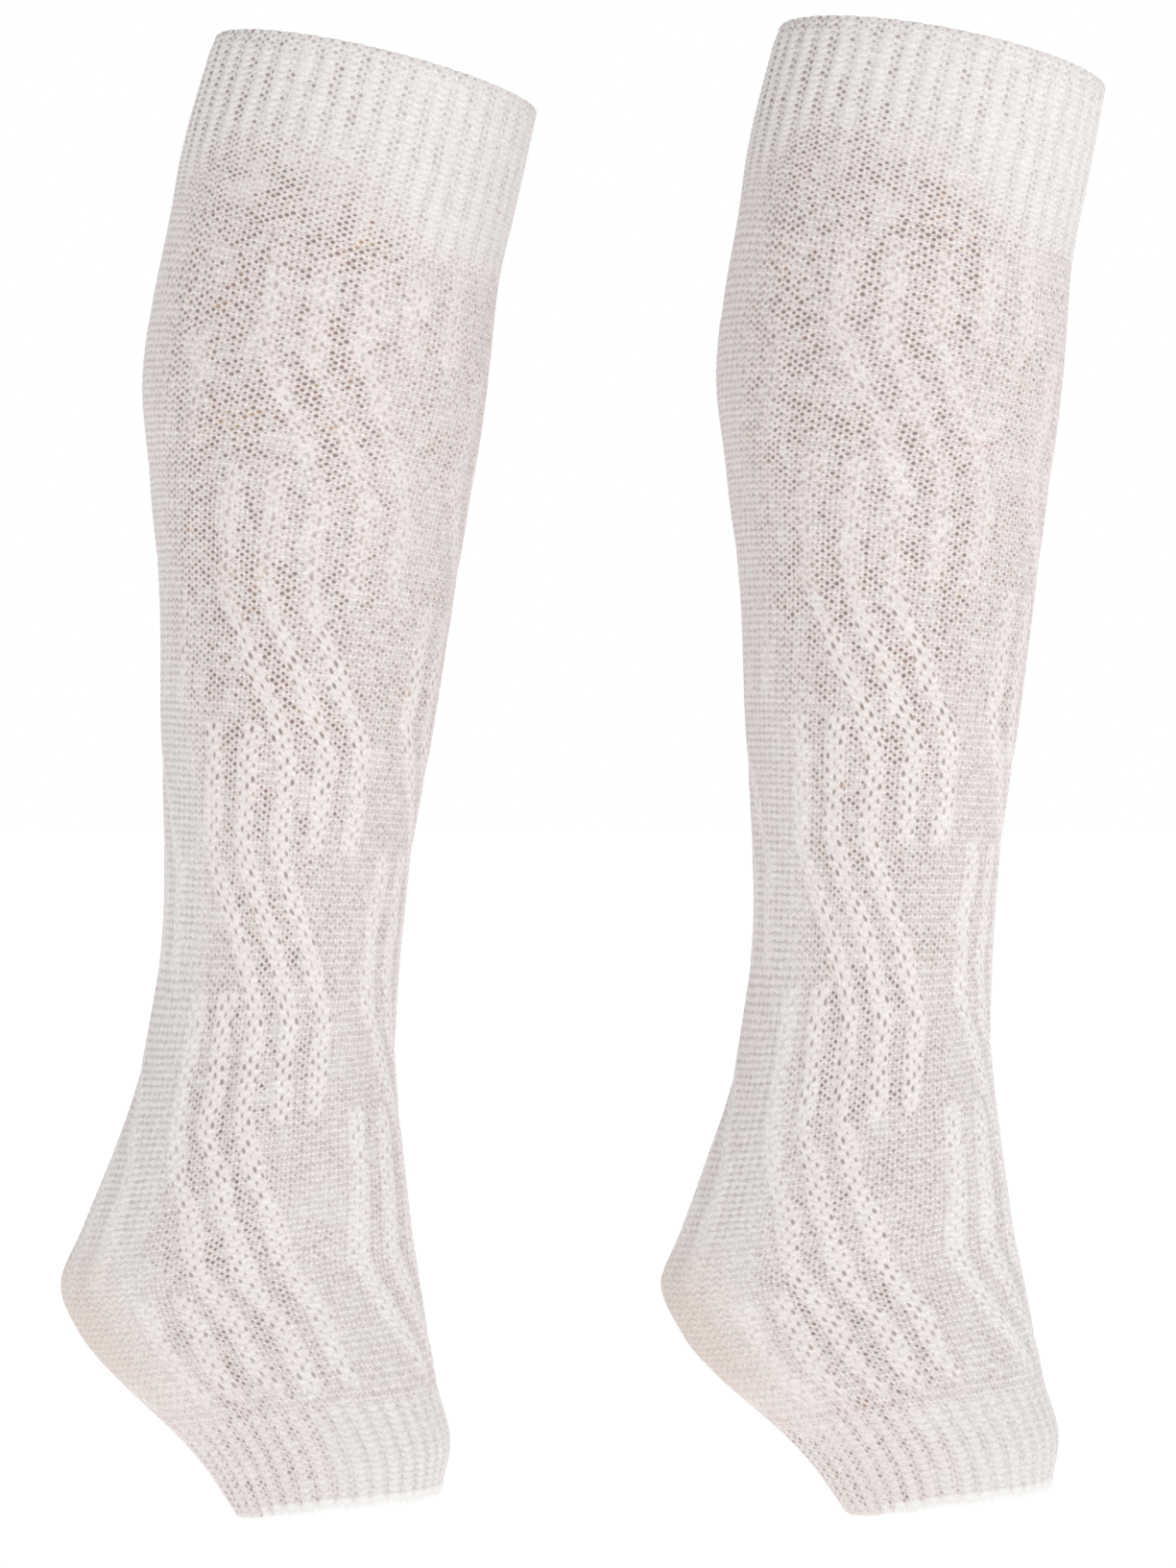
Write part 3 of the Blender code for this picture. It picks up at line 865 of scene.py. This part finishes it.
def knitMaterial(name, kind, seed):
    material = bpy.data.materials.new(name)
    material.use_nodes = True
    tree = material.node_tree
    shader = tree.nodes["Principled BSDF"]
    shares, relief = yarnLooks["shares"], yarnLooks["relief"]
    cool, reddish = yarnLooks["gapCool"], yarnLooks["gapWarm"]
    uv = tree.nodes.new("ShaderNodeUVMap")
    uv.uv_map = "stitch"
    split = tree.nodes.new("ShaderNodeSeparateXYZ")
    feed(tree, split.inputs[0], uv.outputs[0])
    wale, row = split.outputs[0], split.outputs[1]
    rib, off, gapDark, warm, sole, lineShade = (pointMask(tree, maskName) for maskName in yarnMasks)
    place = tree.nodes.new("ShaderNodeTexCoord").outputs["Object"]
    shift = seed * yarnScales["fibresShift"]
    fibres = placeGroup(tree, fibresGroup, Wale=wale, Row=row, Place=place, Seed=shift)
    patches, lint, fibre = fibres["Patches"], fibres["Lint"], fibres["Fibre"]
    # gaps of the ground, painted dark as shade, fewer under lint
    gap, chance, hue = placeGaps(tree, wale, row, "ground", seed)
    power = times(tree, ramp(tree, patches, 0.3, 0.7, 0.65, 1.15), chance)
    power = times(tree, power, gapDark)
    power = times(tree, power, maths(tree, "MULTIPLY_ADD", lint, -gapLooks["underLint"], 1.0))
    holes = times(tree, gap, power, clamp=True)
    if kind == "leg":
        # the ropes have their own gaps, and a frayed edge
        across = times(tree, off, 1 / rope["dotsAcross"])
        along = times(tree, row, 1 / rope["dotsAlong"])
        longGap, longChance = placeGaps(tree, across, along, "rope", seed + 5)[:2]
        fray = noise(tree, place, yarnScales["fray"], 2.0, 0.6)
        ragged = maths(tree, "MULTIPLY_ADD", fray, 0.4, maths(tree, "SUBTRACT", rib, 0.2))
        onRib = ramp(tree, ragged, 0.16, 0.7)
        offRib = maths(tree, "SUBTRACT", 1.0, onRib)
        longPower = times(tree, longChance, ramp(tree, gapDark, 0.1, 1.0, 0.22, 0.95))
        longHoles = times(tree, times(tree, longGap, longPower), onRib)
        holes = maths(tree, "ADD", times(tree, holes, offRib), longHoles, clamp=True)
        shade = ramp(tree, rib, 0.45, 0.9)
    else:
        holes = times(tree, holes, ramp(tree, rib, 0.4, 0.9, 1.0, 0.12))
        shade = ramp(tree, rib, 0.3, 0.9)
    yarn = mixColour(tree, ramp(tree, warm, 0.1, 0.9), yarnLooks["pale"], yarnLooks["pink"])
    # the ribs' and ropes' own paler yarn, and a painted highlight on them that grows with the line mask at
    # the calf side, where they stand lit above the shaded purl rows
    ribPaleAndLit = times(tree, shade, maths(tree, "MULTIPLY_ADD", lineShade, 0.4, 0.1))
    yarn = mixColour(tree, ribPaleAndLit, yarn, yarnLooks["rib"])
    yarn = mixColour(tree, times(tree, lint, shares["lint"]), yarn, yarnLooks["lint"])
    yarn = mixColour(tree, sole, yarn, yarnLooks["sole"])
    thin = placeGroup(
        tree, linesGroup, Wale=wale, Row=row, Place=place, Rib=rib, Offset=off, Lines=lineShade, Shade=shade
    )
    line, zigzag, vee = thin["Line"], thin["Zigzag"], thin["Vee"]
    # painted shade along the purl rows, in zigzags between the gaps and down each V of a rib
    yarn = mixColour(tree, line, yarn, cool)
    gapTint = mixColour(tree, warm, cool, reddish)
    zigzagShare = shares["zigzag" if kind == "leg" else "cuffZigzag"]
    yarn = mixColour(tree, times(tree, zigzag, zigzagShare), yarn, gapTint)
    yarn = mixColour(tree, times(tree, vee, shares["vee"]), yarn, cool)
    yarn = mixColour(tree, ramp(tree, fibre, 0.62, 0.28, 0.0, shares["fibre"]), yarn, cool)
    yarn = mixColour(tree, ramp(tree, fibres["Grain"], 0.6, 0.32, 0.0, shares["grain"]), yarn, cool)
    if kind == "footCuff":
        # the mask goes past 1 on the cast-off edge
        band = ramp(tree, rib, 1.1, 1.5)
        yarn = mixColour(tree, band, yarn, yarnLooks["band"])
        holes = times(tree, holes, maths(tree, "SUBTRACT", 1.0, band))
    # the gaps are painted dark, as the shade seen through the holes, warm and brown in patches
    patchy = ramp(tree, patches, 0.38, 0.62, 0.25, 1.3)
    warmth = times(tree, times(tree, hue, warm), patchy)
    gapColour = mixColour(tree, warmth, cool, reddish)
    brown = ramp(tree, maths(tree, "MULTIPLY_ADD", hue, 0.25, patches), 0.8, 0.88)
    gapColour = mixColour(tree, times(tree, brown, warm), gapColour, yarnLooks["gapBrown"])
    feed(tree, shader.inputs["Base Color"], mixColour(tree, holes, yarn, gapColour))
    height = maths(tree, "SUBTRACT", times(tree, fibres["Fuzz"], relief["fuzz"]), holes)
    height = maths(tree, "MULTIPLY_ADD", fibre, relief["fibre"], height)
    height = maths(tree, "SUBTRACT", height, times(tree, line, relief["line"]))
    height = maths(tree, "SUBTRACT", height, times(tree, vee, relief["vee"]))
    height = maths(tree, "SUBTRACT", height, times(tree, zigzag, relief["zigzag"]))
    bump = tree.nodes.new("ShaderNodeBump")
    bump.inputs["Strength"].default_value = yarnLooks["bumpStrength"]
    bump.inputs["Distance"].default_value = yarnLooks["bump"]
    feed(tree, bump.inputs["Height"], height)
    feed(tree, shader.inputs["Normal"], bump.outputs[0])
    shader.inputs["Roughness"].default_value = yarnLooks["roughness"]
    shader.inputs["Specular IOR Level"].default_value = yarnLooks["shine"]
    shader.inputs["Sheen Weight"].default_value = yarnLooks["sheen"]
    shader.inputs["Sheen Roughness"].default_value = yarnLooks["sheenRoughness"]
    return material


stretches = (  # piece, node, kind, first course, last course, open at the top, open at the foot
    ("topCuffKnit", "top_cuff", "topCuff", form["topRim"], form["topSeam"], True, False),
    ("calfKnit", "leg", "leg", form["topSeam"], form["legSplit"], False, False),
    ("ankleKnit", "leg", "leg", form["legSplit"], form["footSeam"], False, False),
    ("footCuffKnit", "foot_cuff", "footCuff", form["footSeam"], form["footRim"], False, True),
)
for sideNumber, side in enumerate(form["places"]):
    for number, (pieceName, nodeName, kind, first, last, openTop, openFoot) in enumerate(stretches):
        node = side + "_" + nodeName
        cloth = clothShell(side + "_" + pieceName, side, kind, first, last, openTop, openFoot)
        cloth.data.materials.append(knitMaterial(node + "_yarn", kind, sideNumber * 20 + number))
        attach(cloth, "root")
        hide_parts(node)
        width, length = flatSize(side, first, last)
        print(cloth.name, "flat", round(width * 1000, 1), "x", round(length * 1000, 1), "mm")
